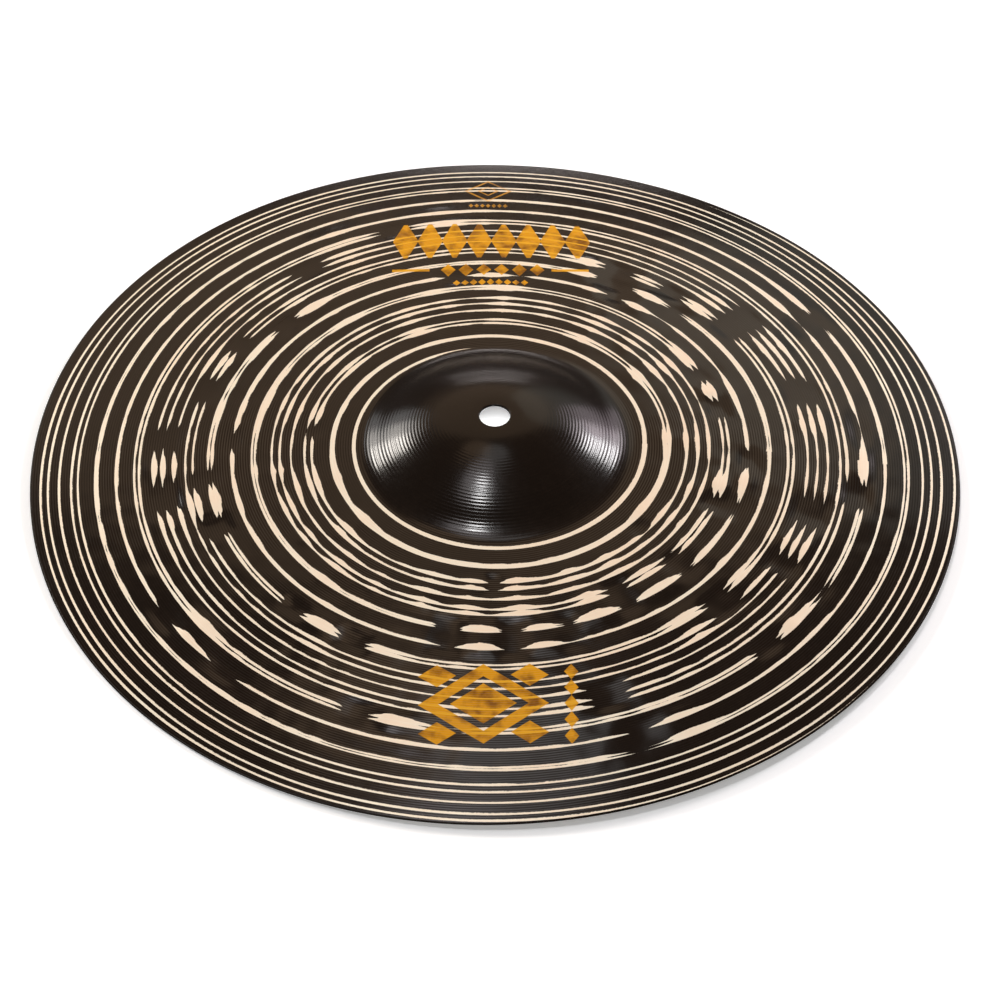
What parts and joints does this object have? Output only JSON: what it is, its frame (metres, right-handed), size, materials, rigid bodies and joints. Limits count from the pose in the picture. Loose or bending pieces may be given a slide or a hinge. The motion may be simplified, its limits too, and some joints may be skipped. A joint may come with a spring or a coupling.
{
  "type": "crash cymbal",
  "caption": "Thin round crash cymbal with a raised bell, a centre hole, a curved bow and a hammered, lathed dark face with bright spiral grooves.",
  "frame": {"origin": "centre of the circle that the edge rests on, on the cymbal's axis", "axes": "+Z along the cymbal's axis from the edge to the bell; +X and +Y are the width and depth of the round outline, with the printed emblem on the -Y side"},
  "size_m": [0.4064, 0.4064, 0.0379],
  "materials": {
    "dark_bronze": "dark oxidised bronze, lathed, with bright bare-metal grooves"
  },
  "bodies": {
    "root": {"cymbal": "dark_bronze"}
  },
  "joints": []
}
